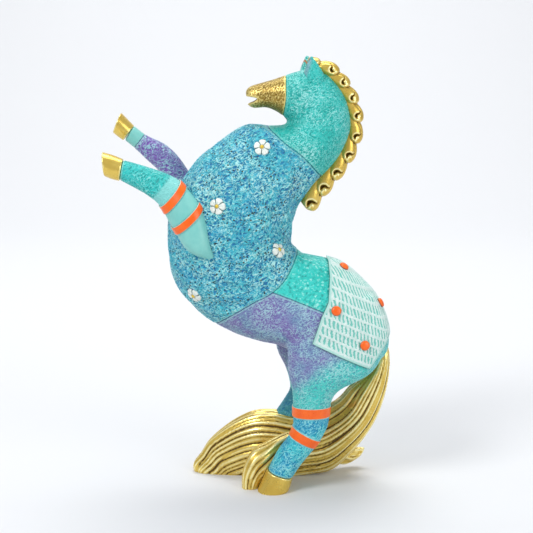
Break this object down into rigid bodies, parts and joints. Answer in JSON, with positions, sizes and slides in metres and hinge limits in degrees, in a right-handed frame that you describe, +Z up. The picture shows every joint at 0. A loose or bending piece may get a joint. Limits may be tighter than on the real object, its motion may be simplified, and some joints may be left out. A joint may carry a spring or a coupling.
{
  "type": "horse figurine",
  "caption": "Rearing horse figurine in painted cast resin: scrolled gold mane, long gold tail to the ground, patchwork body with applied flowers, studs and leg bands.",
  "frame": {"origin": "on the surface the figurine stands on, under the middle of its bounding box", "axes": "+Z up; the horse looks towards -X, its near (left) side faces -Y and its tail falls at +X"},
  "size_m": [0.1984, 0.0872, 0.301],
  "materials": {
    "gold_paint": "metallic antique gold paint over cast resin, satin",
    "turquoise_paint": "turquoise paint, dry-brushed paler on the relief",
    "aqua_paint": "aqua blue paint, dark in the recesses of the pebbled relief",
    "purple_paint": "purple blue paint with turquoise showing through",
    "teal_paint": "stippled teal blue paint",
    "pale_turquoise_paint": "smooth pale turquoise paint, satin",
    "mint_paint": "whitish mint paint over a stitched relief",
    "orange_enamel": "glossy orange enamel with darker edges",
    "daisy_white": "off-white paint, gold in the middle of the flower",
    "steel_wire": "plain drawn wire"
  },
  "bodies": {
    "root": {"muzzle": "gold_paint", "head_and_neck": "turquoise_paint", "barrel": "aqua_paint", "loin_panel": "turquoise_paint", "flank_panel": "purple_paint", "hindquarters": "turquoise_paint", "near_hind_hock": "teal_paint", "near_hind_cannon": "teal_paint", "far_hind_cannon": "teal_paint", "near_hind_hoof": "gold_paint", "far_hind_hoof": "gold_paint", "near_hind_band_upper": "orange_enamel", "near_hind_band_lower": "orange_enamel", "near_fore_arm": "pale_turquoise_paint", "near_fore_elbow": "pale_turquoise_paint", "near_fore_cannon": "turquoise_paint", "near_fore_band_upper": "orange_enamel", "near_fore_band_lower": "orange_enamel", "near_fore_hoof": "gold_paint", "far_fore_arm": "pale_turquoise_paint", "far_fore_cannon": "purple_paint", "far_fore_collar": "pale_turquoise_paint", "far_fore_hoof": "gold_paint", "near_hind_armature": "steel_wire", "far_hind_armature": "steel_wire", "near_fore_armature": "steel_wire", "far_fore_armature": "steel_wire", "near_ear": "turquoise_paint", "far_ear": "turquoise_paint", "rump_blanket": "mint_paint", "mane": "gold_paint", "tail": "gold_paint", "near_daisy_1": "daisy_white", "near_daisy_2": "daisy_white", "near_daisy_3": "daisy_white", "near_daisy_4": "daisy_white", "near_stud_1": "orange_enamel", "near_stud_2": "orange_enamel", "near_stud_3": "orange_enamel", "near_stud_4": "orange_enamel", "far_daisy_1": "daisy_white", "far_daisy_2": "daisy_white", "far_daisy_3": "daisy_white", "far_daisy_4": "daisy_white", "far_stud_1": "orange_enamel", "far_stud_2": "orange_enamel", "far_stud_3": "orange_enamel", "far_stud_4": "orange_enamel"}
  },
  "joints": []
}
